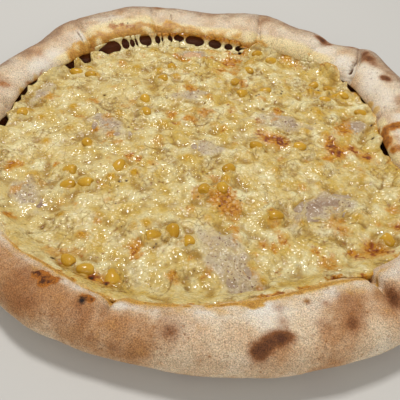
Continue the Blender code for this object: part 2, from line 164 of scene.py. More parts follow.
# Stretches of the lip that the cheese crept over: first angle, last angle and share of the rim's width.
CREEPS = [
    (44, 66, 0.24), (64, 78, 0.22), (78, 112, 0.2), (110, 136, 0.42), (134, 152, 0.16), (184, 214, 0.2),
    (221, 237, 0.14), (292, 304, 0.26), (279, 286, 0.1), (352, 372, 0.12),
]


def smooth(low, high, value):
    t = np.clip((value - low) / (high - low), 0, 1)
    return t * t * (3 - 2 * t)


def turn_between(angle, other):
    return (angle - other + 180) % 360 - 180


def station_value(angle, column):
    """One of the rim's sizes at each angle: a smooth closed curve through the stations."""
    turned = np.mod(angle, 360)
    before = np.searchsorted(STATIONS[:, 0], turned, side="right") - 1
    places = [before + k for k in (-1, 0, 1, 2)]
    count = len(STATIONS)
    angles = [STATIONS[p % count, 0] + 360 * (p // count) for p in places]
    values = [STATIONS[p % count, column] for p in places]
    span = angles[2] - angles[1]
    t = (turned - angles[1]) / span
    slope_1 = (values[2] - values[0]) / (angles[2] - angles[0]) * span
    slope_2 = (values[3] - values[1]) / (angles[3] - angles[1]) * span
    return (
        values[1] * (1 + 2 * t) * (1 - t) ** 2
        + slope_1 * t * (1 - t) ** 2
        + values[2] * t * t * (3 - 2 * t)
        + slope_2 * t * t * (t - 1)
    )


def along_lip(angle, stretches, before, after):
    """The value of the stretch of the lip at each angle, fading from before each end to after it."""
    total = np.zeros(np.shape(angle))
    for first_angle, last_angle, value in stretches:
        half = (last_angle - first_angle) / 2
        off = np.abs(turn_between(angle, (first_angle + last_angle) / 2))
        total = np.maximum(total, value * (1 - smooth(half - before, half + after, off)))
    return total


def mouth(angle):
    """How far the lip has lifted at each angle."""
    return along_lip(angle, MOUTHS, MOUTH_SHOULDER, MOUTH_SHOULDER)


def pleat_fold(angle, across, radius):
    """Push of the folds at points of the rim. across runs from 0 at the lip to 1 at the outer side."""
    total = np.zeros(np.shape(angle))
    fade = 1 - smooth(0.45, 0.95, across)
    for at_lip, at_outer, depth, step, crease in PLEATS:
        middle = at_lip + turn_between(at_outer, at_lip) * across
        off = np.radians(turn_between(angle, middle)) * radius
        total -= depth * np.exp(-((off / PLEAT_WIDTH) ** 2)) * fade
        total -= crease * np.exp(-((off / 1.2) ** 2)) * fade
        total += step * np.tanh(off / PLEAT_WIDTH) * np.exp(-np.abs(off) / PLEAT_REACH) * fade
    return total


def round_points(radius, angle, height):
    """Points from their distance from the middle, their angle in degrees and their height."""
    turn = np.radians(angle)
    return np.stack([radius * np.cos(turn), radius * np.sin(turn), height], -1)


def swirl(points, size, seed=0.0):
    """Smooth noise from -1 to 1 at each point, with swells as wide as size."""
    shift = Vector((seed, seed * 0.37, seed * 0.71))
    values = [noise.noise(Vector(p) / size + shift) for p in points.reshape(-1, 3)]
    return np.array(values).reshape(points.shape[:-1])


def spots(points, places, ragged, core=0.25, rim=1.15):
    """The listed round spots at each point, run together, fading from core to rim with a ragged edge."""
    clear = np.ones(points.shape[:-1])
    for *centre, radius, strength in places:
        off = np.linalg.norm(points[..., : len(centre)] - np.array(centre), axis=-1) / radius
        clear *= 1 - np.minimum(1, strength * (1 - smooth(core, rim, off + ragged)))
    return 1 - clear


def linear(colour):
    """A linear colour from its sRGB hex value."""
    parts = [int(colour[i : i + 2], 16) / 255 for i in (0, 2, 4)]
    return tuple(c / 12.92 if c <= 0.04045 else ((c + 0.055) / 1.055) ** 2.4 for c in parts) + (1.0,)


def add_node(material, kind, inputs, output=0, **settings):
    """Adds one shader node with its settings, gives each socket its value or link, and returns an output."""
    made = material.node_tree.nodes.new("ShaderNode" + kind)
    for name, value in settings.items():
        setattr(made, name, value)
    for socket, value in inputs.items():
        if isinstance(value, bpy.types.NodeSocket):
            material.node_tree.links.new(value, made.inputs[socket])
        else:
            made.inputs[socket].default_value = value
    return made.outputs[output] if made.outputs else None


def spaced(width):
    """The texture scale that sets the marks of a pattern width millimetres apart."""
    return 1 / (width * MM)


def new_material(name):
    material = bpy.data.materials.new(name)
    material.use_nodes = True
    material.node_tree.nodes.clear()
    return material


def build_piece(name, points, faces, fields, material):
    """One piece, from points in millimetres, with a value at each point for every named field."""
    mesh = bpy.data.meshes.new(name)
    mesh.from_pydata((np.asarray(points) * MM).tolist(), [], faces)
    mesh.shade_smooth()
    for field, values in fields.items():
        layer = mesh.attributes.new(field, "FLOAT", "POINT")
        layer.data.foreach_set("value", np.asarray(values, np.float32).ravel())
    mesh.materials.append(material)
    piece = bpy.data.objects.new(name, mesh)
    bpy.context.scene.collection.objects.link(piece)
    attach(piece, "root")
    return piece


def band_faces(rings, count):
    """Quads between closed rings of count points each, and a face over the first and the last ring."""
    faces = []
    for k in range(rings - 1):
        low = k * count
        high = low + count
        faces += [(low + i, low + (i + 1) % count, high + (i + 1) % count, high + i) for i in range(count)]
    faces.append(tuple(range(count))[::-1])
    faces.append(tuple(range((rings - 1) * count, rings * count)))
    return faces


SPOKES = 1100
ROLL_STEPS = 58
turns = np.linspace(-90, 180, ROLL_STEPS)
roll = np.radians(turns)[:, None]
outside = turns[:, None] <= 90
across = np.where(outside, 1 - OUTER_SHARE * (1 - np.cos(roll)), (1 - OUTER_SHARE) * (1 + np.cos(roll)))
spokes = np.arange(SPOKES) * 360 / SPOKES
lean = sum(
    turn_between(at_outer, at_lip) * np.exp(-((turn_between(spokes, at_lip) / LEAN_REACH) ** 2))
    for at_lip, at_outer, _, _, _ in PLEATS
)
angle = spokes + lean * across
lip = station_value(angle, 2)
crest = station_value(angle, 3)
radius = lip + across * (station_value(angle, 1) - lip)
nose = NOSE_HEIGHT + mouth(angle)
height = np.where(outside, crest / 2 * (1 + np.sin(roll)), nose + (crest - nose) * np.sin(roll))
place = round_points(radius, angle, height)
push = 1.7 * swirl(place, 34)
push += 0.5 * swirl(place + 13 * np.array((7, 3, 1)), 13)
push *= smooth(0, 0.25, across) * smooth(0, 6, height)
push += pleat_fold(angle, across, radius) * smooth(2, 12, height)
ragged = swirl(place, 6, 3) + 0.6 * swirl(place, 2.4, 5)
blister = spots(place, BLISTERS, 0.55 * ragged)
char = spots(place, CHARS, 0.6 * ragged)
# The next field darkens each pinched crease in the dough's colour: painted shade.
fold = np.zeros_like(push)
for x1, y1, x2, y2, depth in WRINKLES:
    run = np.array((x2 - x1, y2 - y1), float)
    share = np.clip(((place[..., :2] - (x1, y1)) @ run) / (run @ run), 0, 1)
    off = np.linalg.norm(place[..., :2] - (x1, y1) - share[..., None] * run, axis=-1)
    push -= depth * np.exp(-((off / 0.9) ** 2)) * (1 - 0.6 * share) * smooth(6, 12, height)
    fold = np.maximum(fold, depth / 2.4 * np.exp(-((off / 0.7) ** 2)) * (1 - 0.8 * share))
push += (0.16 * swirl(place, 4.2, 9) + 0.08 * swirl(place, 1.9, 12)) * smooth(0, 4, height)
push += 0.6 * smooth(0.1, 0.8, blister) - 0.7 * char
radius = radius + push * np.cos(roll)
height = np.maximum(0, height + push * np.sin(roll))

edge = spokes
edge_lip = station_value(edge, 2)
edge_nose = NOSE_HEIGHT + mouth(edge)
edge_depth = PRESSED_UNDERCUT + MOUTH_HOLLOW * np.minimum(1, mouth(edge) / 3)
under = []
for t in (22, 45, 68, 90):
    reach = NOSE_RADIUS * (1 - math.cos(math.radians(t)))
    under.append((edge_lip + reach, edge_nose - NOSE_RADIUS * math.sin(math.radians(t))))
for share in (0.35, 0.7, 1.0):
    reach = NOSE_RADIUS + (edge_depth - NOSE_RADIUS) * share
    under.append((edge_lip + reach, edge_nose - NOSE_RADIUS - 0.6 * share))
under.append((edge_lip + edge_depth + 0.5, (edge_nose - NOSE_RADIUS - 0.6 + BASE_THICKNESS) / 2))
under.append((edge_lip + edge_depth + 0.8, np.full(SPOKES, BASE_THICKNESS)))
radius = np.vstack([radius] + [r[None] for r, _ in under])
height = np.vstack([height] + [z[None] for _, z in under])
angle = np.vstack([angle] + [edge[None]] * len(under))
across = np.vstack([across * np.ones(SPOKES), np.zeros((len(under), SPOKES))])
# The rows tucked under the lip are coloured red-brown, more so further in: partly sauce stain, partly painted
# shade.
tucked = np.linspace(0.25, 1, len(under))[:, None] * np.ones(SPOKES)
hidden = np.vstack([np.zeros((ROLL_STEPS, SPOKES)), tucked])
extra = np.zeros((len(under), SPOKES))
dough_points = round_points(radius, angle, height)

creep = np.zeros_like(radius)
for first_angle, last_angle, share in CREEPS:
    beside = along_lip(angle, [(first_angle, last_angle, 1)], 4, 4)
    creep = np.maximum(creep, beside * (1 - smooth(0.5, 1.2, across / share)))
near_side = 0.5 - 0.5 * np.sin(np.radians(angle))
broad = swirl(dough_points, 26, 21)
middle = swirl(dough_points, 9, 24)
fine = swirl(dough_points, 4, 26)
toast = 0.24 + 0.09 * near_side + 0.45 * broad + 0.3 * middle + 0.12 * fine
toast += 0.75 * spots(dough_points, TOASTED, 0.25 * middle, 0.1, 1.3)
toast -= 0.09 * near_side * smooth(0.45, 0.9, across)
flour = 0.34 - 0.12 * near_side - 0.3 * broad + 0.3 * swirl(dough_points, 14, 28)
flour += 0.55 * np.exp(-(((across - 0.24 - 0.06 * middle) / 0.13) ** 2)) * smooth(0.3, 0.8, near_side)
flour -= 0.5 * spots(dough_points, TOASTED, 0.25 * middle, 0.1, 1.3)
floured = spots(dough_points, FLOURED, 0.3 * middle, 0.1, 1.3)
flour += 0.6 * floured
toast -= 0.5 * floured
flour *= smooth(2, 12, height)
uneven_across = across + 0.14 * middle + 0.06 * fine
# The far rim's outer side, towards its outline, is darkened grey-brown: painted shade.
rind = smooth(0.34, 0.84, uneven_across) * smooth(0.74, 0.36, near_side + 0.15 * broad)
far_lip = 1 - smooth(36, 42, np.abs(turn_between(angle, 107)))
gilt_reach = 0.14 + 0.14 * smooth(90, 106, np.mod(angle, 360))
gilt = far_lip * (1 - smooth(gilt_reach - 0.16, gilt_reach, uneven_across))
gilt *= smooth(-0.5, 0.3, middle + 0.5 * broad + 0.4 * fine + 0.3)
near_lip = np.exp(-(((across - 0.15 - 0.02 * fine) / 0.03) ** 2))
near_lip *= smooth(-0.5, 0.2, middle + 0.6 * fine + 0.3)
near_lip += 0.42 * (1 - floured) * (1 - smooth(0.16, 0.5, across + 0.05 * middle))
gilt += smooth(0.84, 0.92, near_side) * near_lip
dough_fields = {
    "toast": toast,
    "flour": flour,
    "gilt": gilt + 0.7 * spots(dough_points, DRIPS, 0.2 * fine),
    "scorch": spots(dough_points, SCORCHES, 0.22 * middle + 0.16 * fine, 0.0, 1.75),
    "blister": np.vstack([blister, extra]),
    "char": np.vstack([char, extra]),
    "fold": np.vstack([fold, extra]),
    "floured": floured,
    "hidden": hidden,
    "stain": spots(dough_points, STAINS, 0.5 * fine + 0.3 * middle, 0.2, 1.3),
    "creep": np.maximum(creep, spots(dough_points, DRIPS, 0.2 * fine)),
    "rind": rind,
}
crust = build_piece(
    "pizza_dough",
    dough_points.reshape(-1, 3),
    band_faces(len(radius), SPOKES),
    {name: np.clip(field, 0, 1) for name, field in dough_fields.items()},
    None,
)
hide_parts("crust")

# Baked bread dough, dusted with flour: fully matt, mottled from cream to tan, with a sandy grain 0.6 mm wide
# (0.3 mm in fact, drawn coarser to show), soft brown scorches and orange blisters split open. Painted shade
# darkens the far rim's outer side and the pinched creases, and partly the red-brown undercut below the lip.
dough = new_material("floured_bread_crust")
spot = add_node(dough, "NewGeometry", {}, "Position")
grit, speck, cloud = (
    add_node(dough, "TexNoise", {"Vector": spot, "Scale": spaced(width), "Detail": fine, "Roughness": rough})
    for width, fine, rough in ((0.5882, 2.0, 0.7), (2.381, 4.0, 0.7), (9.091, 3.0, 0.6))
)
mask = {name: add_node(dough, "Attribute", {}, "Fac", attribute_name=name) for name in dough_fields}


def lay_colours(material, mask, lowest, layers):
    """Lays colours over the lowest. Each layer has its colour, the mask that says where it lies, the texture
    that breaks it up and by how much, and the sums of the two at which it starts and is full."""
    colour = linear(lowest)
    for over, base, texture, weight, start, full in layers:
        sum_of = {0: texture, 1: weight, 2: mask.get(base, base)}
        joined = add_node(material, "Math", sum_of, operation="MULTIPLY_ADD")
        half = 0.5 * weight
        reach = {"Value": joined, "From Min": start + half, "From Max": full + half}
        mixed = {0: add_node(material, "MapRange", reach), 6: colour, 7: linear(over)}
        colour = add_node(material, "Mix", mixed, 2, data_type="RGBA")
    return colour


colour = lay_colours(dough, mask, "dcc6a6", [
    ("b98655", "toast", cloud, 0.8, 0.1, 1.0),
    ("a06e42", "toast", speck, 0.6, 0.5, 1.4),
    ("e8dfd0", "flour", speck, 0.55, 0.2, 1.0),
    ("8e6e54", "rind", speck, 1.1, 0.0, 1.15),
    ("925c32", "scorch", speck, 0.5, 0.04, 0.7),
    ("401d0e", "scorch", speck, 0.5, 0.48, 1.1),
    ("e6d09c", "creep", cloud, 0.5, 0.2, 0.8),
    ("d0a04a", "gilt", cloud, 0.8, 0.1, 0.7),
    ("a0601e", "gilt", speck, 1.6, 0.6, 1.5),
    ("a8641e", "blister", speck, 1.0, 0.1, 0.6),
    ("4e220c", "blister", speck, 3.0, 0.7, 1.3),
    ("1e120e", "char", speck, 1.2, 0.15, 0.9),
    ("5a3c22", "fold", speck, 0.6, 0.05, 0.6),
    ("b8741e", "stain", speck, 1.0, 0.1, 0.7),
    ("5e2210", "stain", speck, 1.6, 0.7, 1.3),
    ("8c4a20", "hidden", speck, 0.2, 0.1, 0.9),
])
sandy = add_node(
    dough, "MapRange", {"Value": grit, "From Min": 0.3, "From Max": 0.7, "To Min": 0.44, "To Max": 1.42}
)
graininess = add_node(dough, "MapRange", {"Value": mask["floured"], "To Min": 1.0, "To Max": 0.4})
colour = add_node(
    dough, "Mix", {0: graininess, 6: colour, 7: sandy}, 2, data_type="RGBA", blend_type="MULTIPLY"
)
relief = add_node(dough, "Math", {0: speck, 1: 0.5, 2: grit}, operation="MULTIPLY_ADD")
bump = add_node(dough, "Bump", {"Height": relief, "Strength": 0.35, "Distance": 0.0007})
dull = {"Value": mask["creep"], "From Max": 0.8, "To Min": 0.88, "To Max": 0.4}
crumb = {
    "Base Color": colour,
    "Roughness": add_node(dough, "MapRange", dull),
    "IOR": 1.4,
    "Normal": bump,
    "Subsurface Weight": 0.12,
    "Subsurface Radius": (0.9, 0.45, 0.2),
    "Subsurface Scale": 0.002,
}
add_node(dough, "OutputMaterial", {"Surface": add_node(dough, "BsdfPrincipled", crumb)})
crust.data.materials[0] = dough

# The tomato sauce: a thin wet layer of cooked tomato spread on the dough. It shows only in the slots where
# the lip stands open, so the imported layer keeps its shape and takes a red-brown finish.
sauce = new_material("cooked_tomato_sauce")
spot = add_node(sauce, "NewGeometry", {}, "Position")
pulp = add_node(sauce, "TexNoise", {"Vector": spot, "Scale": spaced(3.333), "Detail": 4.0})
colour = lay_colours(sauce, {}, "6c3012", [("98501e", 0.5, pulp, 2.0, 0.0, 1.0)])
bump = add_node(sauce, "Bump", {"Height": pulp, "Strength": 0.6, "Distance": 0.001})
wet = {"Base Color": colour, "Roughness": 0.35, "IOR": 1.36, "Normal": bump}
add_node(sauce, "OutputMaterial", {"Surface": add_node(sauce, "BsdfPrincipled", wet)})
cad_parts["tomato_sauce"].data.materials.clear()
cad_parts["tomato_sauce"].data.materials.append(sauce)

# The cheese: grated mozzarella melted into one sheet, lumpy where the shreds ran together, drawn over the
# corn and ham like a skin, pitted by burst bubbles and browned in patches. Its edge clings to the lip, has
# run up over it in places, and has torn away where the lip lifted.
AIR_GAP = 0.35
SAUCE_THICKNESS = 1.5
CHEESE_TOP = 10.6
CHEESE_LAP = 0.5
COVERED_CORN = 46
COVERED_BUMP = 1.7
CORN_SPACING = 12
LIP_CLEARANCE = 16
MOST_LIFT = 4.0
CORN = [
    (-38, -117), (-52, -114), (-62, -110), (-21, -89), (-11, -85), (-2, -90), (-78, -44), (-66, -53),
    (-76, -56), (-49, -37), (-72, -19), (-43, 33), (-40, 19), (-28, 78), (-34, 62), (-99, 61), (-88, 59),
    (21, 66), (32, 83), (38, 107), (50, 100), (27, 51), (44, 57), (81, 70), (92, 68), (103, 60), (88, 52),
    (112, 39), (4, -50), (18, -31), (15, -48), (36, -7), (65, -3), (108, -79), (46, -67), (-122, 6),
]
HAM = [
    (76, -55, 24, 22, 10), (20, -101, -58, 25, 12), (54, 22, -12, 19, 9), (-62, 1, -24, 17, 8),
    (4, -12, -8, 12, 8), (-14, 101, 4, 14, 6), (107, 24, 60, 10, 6), (-12, 44, 20, 13, 8),
    (-98, -64, -52, 15, 8), (-116, 32, 70, 12, 5),
]

# How bare of cheese each slice is, and by how much more so towards one end.
HAM_BARE = [0.58, 0.16, 0.30, 0.45, 0.32, 0.9, 0.8, 0.28, 0.2, 0.35]
HAM_BARE_SLOPE = {1: -0.35, 6: 0.6}

# Where the cheese has torn away from the lip: first angle, last angle and width.
GAPS = [
    (77, 133.5, 5.2), (138.5, 143, 3.6), (146.5, 149.5, 2.6), (160.5, 164, 1.2), (166, 169.5, 1.5),
    (170.5, 173.5, 1.4), (175, 177.5, 0.7), (180.5, 185, 2.6), (35, 38, 1.2), (30, 33.5, 1.6),
    (23, 26, 1.2), (-3, 2, 1.8), (329, 332, 1.2),
]

# Where the cheese has run up over the lip: first angle, last angle and height.
CLIMBS = [
    (40, 73, 5.5), (12, 20, 1.5), (338, 350, 3), (188, 222, 3), (151, 158, 2.5), (228, 300, 8.2),
    (306, 326, 6),
]

# Places where kernels just under the cheese colour it golden.
FILMED = [
    (-38, 73), (-24, 68), (-73, -18), (-119, 10), (-109, 3), (-39, -41), (-99, -19), (-26, -81), (17, -39),
    (-52, -46), (-47, -37), (82, 35), (-91, 19), (-110, 27), (62, 104), (45, -65), (-59, -92), (37, -112),
    (84, 61), (97, 60), (96, 69), (78, 63), (-90, 67), (-84, 60),
]

# Places that baked brown, in small lacy patches: x, y, radius and strength.
BROWNED = [
    (-79, 28, 2.8, 0.7), (-71, -3, 2, 0.8), (-61, -7, 2.3, 0.7), (-53, -13, 1.9, 0.6), (-44, -25, 2.2, 0.9),
    (-39, -28, 2.2, 0.8), (-114, -45, 3, 0.7), (-110, -42, 3, 0.7), (-88, -39, 1.8, 0.7),
    (-23, 21, 2.8, 0.8), (-10, 17, 3.5, 0.7), (-18, 11, 2, 0.6), (-12, 54, 3.7, 0.7), (-52, 32, 2.9, 0.4),
    (-110, 27, 4.2, 0.4), (-65, 10, 3.4, 0.5), (-29, -10, 3.3, 0.4), (-67, 76, 3.1, 0.5),
    (17, 96, 6.4, 0.8), (10, 82, 3.9, 0.7), (20, 80, 3.1, 0.6), (26, 67, 2.7, 0.9), (0, 26, 4.2, 0.7),
    (52, 33, 2.5, 0.7), (83, -12, 3.2, 0.8), (97, 19, 5.6, 0.8), (101, 29, 2.8, 0.5), (65, 110, 5, 0.6),
    (71, 99, 4, 0.4), (17, -52, 5.3, 0.7), (10, -55, 3.5, 0.6), (21, -61, 5.2, 0.75), (15, -62, 3.5, 0.6),
    (103, -21, 2.5, 0.4), (-100, -85, 2.4, 0.7), (-27, 98, 2, 0.9), (-22, 94, 1.8, 0.9),
    (-17, 93, 1.4, 0.8), (-3, 96, 1.8, 0.9), (2, 99, 1.6, 0.8), (-30, -94, 3.2, 0.6), (-29, -99, 2.9, 0.9),
    (-59, -92, 2.7, 0.4), (-53, -82, 1.9, 0.5), (-3, -65, 2.3, 0.5), (-9, -113, 2.3, 0.6),
    (-6, -116, 2, 0.5), (0, -100, 1.6, 0.5), (-59, -103, 3.1, 0.4), (23, -78, 2.5, 0.7),
    (24, -85, 2.7, 0.4), (45, -65, 2.9, 0.6), (47, -79, 2.2, 0.5), (49, -85, 2.7, 0.8), (39, -87, 2.7, 0.7),
    (44, -89, 2.2, 0.6), (82, -69, 5.1, 0.5), (84, -74, 3.4, 0.4), (72, -97, 4.7, 0.6), (67, -89, 2.2, 0.6),
    (87, -88, 2.7, 0.8), (107, -92, 1.6, 0.7), (116, -53, 3, 0.6), (106, -65, 1.7, 0.5),
    (36, -116, 1.5, 0.6), (32, -105, 3.1, 0.4), (73, -51, 2.4, 0.3), (-77, -69, 2.8, 0.3),
    (-92, -55, 2.9, 0.3),
]

# Places where cooked sauce broke through, red-brown: x, y, radius and strength.
SAUCY = [
    (38, 21, 2.1, 0.6), (39, 9, 2.4, 0.7), (45, 3, 3.4, 1), (53, 1, 3.3, 1), (87, -1, 3.3, 1),
    (91, -6, 2.6, 1), (100, 0, 3.3, 0.8), (86, 7, 2.7, 0.5), (109, -8, 2.6, 1), (98, -81, 2.5, 0.8),
    (100, -86, 2.7, 1), (104, -88, 2.2, 1), (116, -69, 2.8, 0.9), (89, -90, 2.2, 0.9), (-47, -118, 2.2, 1),
    (-40, -121, 1.8, 0.9), (-65, -112, 1.6, 0.7), (26, 66, 2.3, 0.7), (-44, -25, 1.6, 0.6),
    (14, -61, 1.4, 0.6), (23, 111, 4.1, 0.7), (15, 113, 4.2, 0.6),
]

# Burst bubbles, darkened inside with painted shade: x, y and radius.
PITS = [
    (-73, 36, 1.2), (-50, 3, 0.9), (-29, -31, 0.9), (-47, -48, 1.1), (-43, -47, 1.1), (-44, 100, 1),
    (-36, 101, 0.8), (-120, 7, 0.7), (56, 57, 1), (57, 60, 0.9), (37, 51, 1), (39, 52, 0.9), (42, 37, 1),
    (93, 63, 0.8), (86, 43, 0.7), (85, 66, 0.9), (106, 18, 0.7), (118, 26, 1.1), (116, 11, 1.2),
    (26, -56, 0.9), (-69, -111, 1.4), (-48, -119, 1.6), (-40, -122, 1.3), (43, 120, 1.2), (14, -61, 1),
    (-46, -66, 0.7), (-19, -94, 0.7), (-91, -88, 0.6),
]
FIELD_HALF = 150.0
FIELD_PITCH = 0.5
LUMP_REACH = 138
PIT_REACH = 125
SMALL_PITS = 150
cells = int(2 * FIELD_HALF / FIELD_PITCH) + 1
steps = np.linspace(-FIELD_HALF, FIELD_HALF, cells)
east, north = np.meshgrid(steps, steps)


def mottle(size, seed):
    """Smooth random field over the sheet, with swells as wide as size and a spread of 1."""
    white = np.random.default_rng(seed).normal(size=(cells, cells))
    waves = np.hypot(np.fft.fftfreq(cells)[:, None], np.fft.fftfreq(cells)[None]) * size / FIELD_PITCH
    made = np.fft.ifft2(np.fft.fft2(white) * waves * np.exp(-2 * waves * waves)).real
    return made / made.std()


def soften(field, size):
    waves = np.hypot(np.fft.fftfreq(cells)[:, None], np.fft.fftfreq(cells)[None]) * size / FIELD_PITCH
    return np.fft.ifft2(np.fft.fft2(field) * np.exp(-20 * waves * waves)).real


def gap(angle):
    """How far the cheese falls short of the lip at each angle."""
    return along_lip(angle, GAPS, 0.9, 1.3)


def climb_height(angle):
    """How high the cheese stands over the lip at each angle."""
    return along_lip(angle, CLIMBS, 2, 5)


def cheese_edge(angle):
    """Radius at which the cheese ends: a little inside the lip's surface where it clings to the lip."""
    lip = station_value(angle, 2)
    nose = NOSE_HEIGHT + mouth(angle)
    up = np.clip((climb_height(angle) + 0.8) / (station_value(angle, 3) - nose), 0, 0.95)
    wall_reach = (station_value(angle, 1) - lip) * (1 - OUTER_SHARE) * (1 - np.sqrt(1 - up**2))
    return lip + CHEESE_LAP + wall_reach - (1 + CHEESE_LAP / 2) * gap(angle)


def covered_corn():
    """Places of the kernels that lie under the cheese and lift it, spread evenly by a seeded draw."""
    draw = random.Random(11)
    places = []
    while len(places) < COVERED_CORN:
        angle = draw.uniform(0, 360)
        radius = math.sqrt(draw.random()) * (float(station_value(angle, 2)) - LIP_CLEARANCE)
        spot = Vector((radius * math.cos(math.radians(angle)), radius * math.sin(math.radians(angle))))
        taken = [Vector(c) for c in CORN] + [Vector(h[:2]) for h in HAM] + places
        if all((spot - other).length > CORN_SPACING for other in taken):
            places.append(spot)
    return places


def dome(x, y, size):
    return np.exp(-(((east - x) ** 2 + (north - y) ** 2) / size**2))


def lumps(count, seed, lengths, widths, rises):
    """Half sunk round lumps strewn over the sheet by a seeded draw, with each size between two bounds."""
    draw = random.Random(seed)
    field = np.zeros_like(east)
    for _ in range(count):
        x = draw.uniform(-LUMP_REACH, LUMP_REACH)
        y = draw.uniform(-LUMP_REACH, LUMP_REACH)
        half_length = draw.uniform(*lengths)
        half_width = draw.uniform(*widths)
        rise = draw.uniform(*rises)
        turn = draw.uniform(0, math.pi)
        bend = draw.uniform(-0.05, 0.05)
        reach = int(max(half_length, half_width) / FIELD_PITCH) + 2
        i = int((x + FIELD_HALF) / FIELD_PITCH)
        j = int((y + FIELD_HALF) / FIELD_PITCH)
        near = (slice(max(0, j - reach), j + reach), slice(max(0, i - reach), i + reach))
        along = (east[near] - x) * math.cos(turn) + (north[near] - y) * math.sin(turn)
        aside = (north[near] - y) * math.cos(turn) - (east[near] - x) * math.sin(turn) + bend * along**2
        bulge = 1 - (along / half_length) ** 2 - (aside / half_width) ** 2
        field[near] = np.maximum(field[near], rise * np.sqrt(np.clip(bulge, 0, 1)))
    return field


flat = np.stack([east, north, np.zeros_like(east)], -1)
field_angle = np.degrees(np.arctan2(north, east)) % 360
inside = cheese_edge(field_angle) - np.hypot(east, north)
pressed = 1 - np.minimum(1, gap(field_angle) / 3.5)
smooth_side = smooth(-20, -80, east)
level = CHEESE_TOP + 1.1 * swirl(flat, 38)
climb = climb_height(field_angle)
near_edge = (1 - smooth(0, 10 + (3 + climb) * smooth(60, -40, north), inside)) ** 1.5
edge_level = NOSE_HEIGHT + 0.2 + mouth(field_angle) + climb
level += (edge_level - level) * near_edge * (0.25 + 0.75 * pressed)
level -= 1.6 * (1 - pressed) * (1 - smooth(0, 5, inside))
corn_film = np.zeros_like(east)
for x, y in covered_corn():
    level += COVERED_BUMP * dome(x, y, 4.4)
    corn_film = np.maximum(corn_film, 0.75 * dome(x, y, 3.6))
for x, y in FILMED:
    level += 1.6 * dome(x, y, 3.8)
    corn_film = np.maximum(corn_film, dome(x, y, 3.6))

curds = soften(lumps(420, 21, (3.5, 8.0), (2.6, 5.0), (0.5, 1.5)), 1.1)
shreds = soften(lumps(1700, 3, (2.0, 7.0), (0.9, 1.9), (0.3, 1.1)), 0.8)
bubbles = soften(lumps(3400, 22, (1.1, 2.0), (1.0, 1.7), (0.3, 0.7)), 0.6)

ham_film = np.zeros_like(east)
ham_top = np.zeros_like(east)
bareness = np.zeros_like(east)
for number, (x, y, turn, half_length, half_width) in enumerate(HAM, start=1):
    low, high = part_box(f"ham_slice_{number:02d}")
    c, s = math.cos(math.radians(turn)), math.sin(math.radians(turn))
    along = ((east - x) * c + (north - y) * s) / half_length
    aside = ((north - y) * c - (east - x) * s) / half_width
    cover = 1 - smooth(0.6, 1.25, np.hypot(along, aside) + 0.16 * mottle(9, 31))
    ham_top = np.where(cover > ham_film, (low[2] + high[2]) / 2 / MM + 0.2, ham_top)
    own_bareness = HAM_BARE[number - 1] + HAM_BARE_SLOPE.get(number, 0) * along
    bareness = np.where(cover > ham_film, own_bareness, bareness)
    ham_film = np.maximum(ham_film, cover)

calm = np.clip(1 - 0.75 * ham_film - 0.4 * corn_film, 0, 1)
# Creases sink into the relief; they and the steep sides of the curds are darkened olive-brown, as painted
# shade with some darker oil.
shaded_creases = np.exp(-((mottle(16, 40) / 0.10) ** 2)) * smooth(-0.2, 0.8, mottle(30, 41))
shaded_curd_sides = smooth(0.22, 0.5, np.hypot(*np.gradient(curds, FIELD_PITCH))) * (1 - ham_film)
shaded_creases = np.maximum(shaded_creases, 0.9 * shaded_curd_sides * smooth(-0.4, 0.6, mottle(14, 62)))
lacy = smooth(0.1, 1.3, mottle(20, 43))
calm *= 1 - 0.2 * smooth_side
relief = level + 1.3 * (curds - 0.5) * calm + 0.6 * (shreds - 0.35) * calm + 0.28 * mottle(9, 45) * calm
relief += (0.35 + 0.35 * smooth_side) * mottle(22, 60)
relief += (0.1 + 0.7 * lacy) * (1 - 0.4 * smooth_side) * (bubbles - 0.3) * (1 - 0.5 * ham_film)
relief -= 0.6 * shaded_creases
bare = smooth(0.15, 0.6, bareness - 0.35 + 0.30 * mottle(9, 48) + 0.12 * mottle(3, 49))
bare *= smooth(0.5, 0.9, ham_film)
ham_thin = soften(bare, 3.5) * ham_film
ham_skin = ham_top + 1.0 - 1.4 * bare + 0.3 * mottle(6, 55) + 0.16 * mottle(2.2, 56)
relief += (ham_skin - relief) * smooth(0.15, 0.8, ham_film)

# Each pit is sunk into the relief and painted dark inside: painted shade.
pits = np.zeros_like(east)
draw = random.Random(8)
small_pits = [
    (draw.uniform(-PIT_REACH, PIT_REACH), draw.uniform(-PIT_REACH, PIT_REACH), draw.uniform(0.35, 0.7))
    for _ in range(SMALL_PITS)
]
for x, y, size in PITS + small_pits:
    pits = np.maximum(pits, dome(x, y, size))
relief -= 1.0 * pits

seat = np.zeros_like(east)
hugging = mottle(6, 47)
corn_lift = []
for number, (x, y) in enumerate(CORN, start=1):
    low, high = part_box(f"corn_kernel_{number:02d}")
    off = np.hypot(east - (low[0] + high[0]) / 2 / MM, north - (low[1] + high[1]) / 2 / MM)
    share = 1 - smooth(3.8, 7.5, off)
    round_about = float(np.percentile(relief[off < 6.5], 70))
    corn_lift.append(min(MOST_LIFT, max(0.0, round_about - high[2] / MM + 2.4)))
    collar = high[2] / MM + corn_lift[-1] - 2.2 + 0.7 * np.clip(hugging, -1.2, 2)
    relief += (collar - relief) * share
    seat = np.maximum(seat, np.exp(-((off / 5.0) ** 4)))

